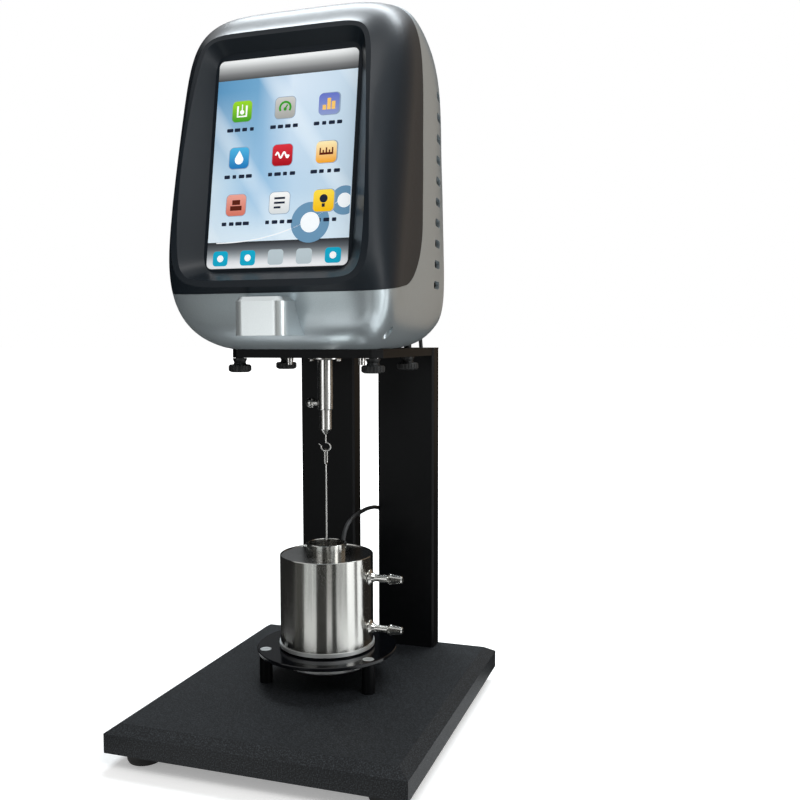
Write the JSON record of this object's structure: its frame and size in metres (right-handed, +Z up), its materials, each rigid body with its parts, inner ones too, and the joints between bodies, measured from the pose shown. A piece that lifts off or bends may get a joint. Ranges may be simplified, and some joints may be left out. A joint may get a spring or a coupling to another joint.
{
  "type": "rotational rheometer",
  "caption": "Bench rheometer: leaning touch-screen head on a two-column stand over a base plate, its hook-hung rotor in a water-jacketed sample cup.",
  "frame": {"origin": "middle of the base outline, on the surface that the feet stand on", "axes": "+Z up, front with the screen towards -Y, +X to the right of someone facing the screen"},
  "size_m": [0.22, 0.2706, 0.5397],
  "materials": {
    "powder_black": "fine-textured powder coat",
    "satin_black": "satin black paint",
    "gloss_black": "gloss black enamel",
    "rubber": "moulded rubber",
    "cable_rubber": "soft cable jacket",
    "steel": "zinc-plated steel",
    "stainless": "turned stainless steel",
    "bright_steel": "polished steel",
    "silver_plastic": "satin silver paint on moulded plastic",
    "bezel_plastic": "satin black moulded plastic",
    "black_plastic": "moulded plastic",
    "screen": "touch-screen glass",
    "board_green": "solder resist",
    "brass": "machined brass",
    "aluminium": "milled aluminium",
    "spring_steel": "blued spring steel"
  },
  "bodies": {
    "stand": {"base_plate": "powder_black", "rubber_feet": "rubber", "foot_screws": "steel", "column_left": "satin_black", "column_right": "satin_black", "column_bolts": "steel", "top_plate": "satin_black", "plate_screws": "steel", "head_screws": "bright_steel", "tray_ring": "gloss_black", "tray_standoffs": "satin_black", "tray_screws": "bright_steel", "jacket_shell": "stainless", "jacket_base": "stainless", "hose_barb_upper": "stainless", "hose_barb_lower": "stainless", "temperature_probe": "bright_steel", "probe_cable": "cable_rubber", "probe_plug": "black_plastic", "probe_socket": "bright_steel", "spindle_flange": "bright_steel", "flange_screws": "bright_steel", "drive_motor": "black_plastic", "motor_bracket": "aluminium", "bracket_posts": "steel", "bearing_housing": "aluminium", "lower_bearing": "steel", "upper_bearing": "steel", "encoder_sensor": "black_plastic", "head_chassis": "aluminium", "head_shell": "silver_plastic", "front_bezel": "bezel_plastic", "rear_panel": "satin_black", "case_screws": "steel", "screen_glass": "screen", "display_module": "black_plastic", "main_board": "board_green", "board_spacers": "brass", "power_inlet": "black_plastic", "inlet_pins": "brass", "switch_frame": "black_plastic", "data_port": "steel"},
    "spindle": {"drive_shaft": "steel", "coupling_sleeve": "bright_steel", "hook_adapter": "bright_steel", "spindle_hook": "bright_steel", "spindle_gear": "brass", "encoder_disc": "aluminium", "torsion_spring": "spring_steel"},
    "motor_rotor": {"motor_shaft": "steel", "motor_pinion": "brass"},
    "clamp_screw": {"clamp_screw": "bright_steel"},
    "rotor": {"rotor_rod": "bright_steel", "rotor_bob": "stainless"},
    "cup": {"sample_cup": "stainless"},
    "thumb_front_left": {"thumb_screw_front_left": "black_plastic"},
    "thumb_front_right": {"thumb_screw_front_right": "black_plastic"},
    "thumb_rear_left": {"thumb_screw_rear_left": "black_plastic"},
    "thumb_rear_right": {"thumb_screw_rear_right": "black_plastic"},
    "rocker": {"power_switch": "black_plastic"}
  },
  "joints": [
    {"name": "spindle_turn", "type": "hinge", "parent": "stand", "child": "spindle", "pos_m": [0, 0.011, 0.28], "axis": [0, 0, 1], "continuous": true},
    {"name": "motor_turn", "type": "hinge", "parent": "stand", "child": "motor_rotor", "pos_m": [0, 0.043, 0.325], "axis": [0, 0, 1], "continuous": true},
    {"name": "clamp_screw_turn", "type": "hinge", "parent": "spindle", "child": "clamp_screw", "pos_m": [-0.0122, 0.011, 0.246], "axis": [1, 0, 0], "continuous": true},
    {"name": "rotor_swing", "type": "hinge", "parent": "spindle", "child": "rotor", "pos_m": [0, 0.011, 0.2088], "axis": [1, 0, 0], "range_deg": [-0.3, 0.3]},
    {"name": "cup_lift", "type": "slide", "parent": "stand", "child": "cup", "axis": [0, 0, 1], "range_m": [0, 0.004]},
    {"name": "thumb_front_left_turn", "type": "hinge", "parent": "stand", "child": "thumb_front_left", "pos_m": [-0.053, -0.0275, 0.276], "axis": [0, 0, 1], "continuous": true},
    {"name": "thumb_front_right_turn", "type": "hinge", "parent": "stand", "child": "thumb_front_right", "pos_m": [0.053, -0.0275, 0.276], "axis": [0, 0, 1], "continuous": true},
    {"name": "thumb_rear_left_turn", "type": "hinge", "parent": "stand", "child": "thumb_rear_left", "pos_m": [-0.053, 0.054, 0.276], "axis": [0, 0, 1], "continuous": true},
    {"name": "thumb_rear_right_turn", "type": "hinge", "parent": "stand", "child": "thumb_rear_right", "pos_m": [0.053, 0.054, 0.276], "axis": [0, 0, 1], "continuous": true},
    {"name": "rocker_tilt", "type": "hinge", "parent": "stand", "child": "rocker", "pos_m": [-0.034, 0.0783, 0.37], "axis": [1, 0, 0], "range_deg": [0, 14]}
  ],
  "couplings": [
    {"joint": "motor_turn", "follows": "spindle_turn", "ratio": -3}
  ]
}
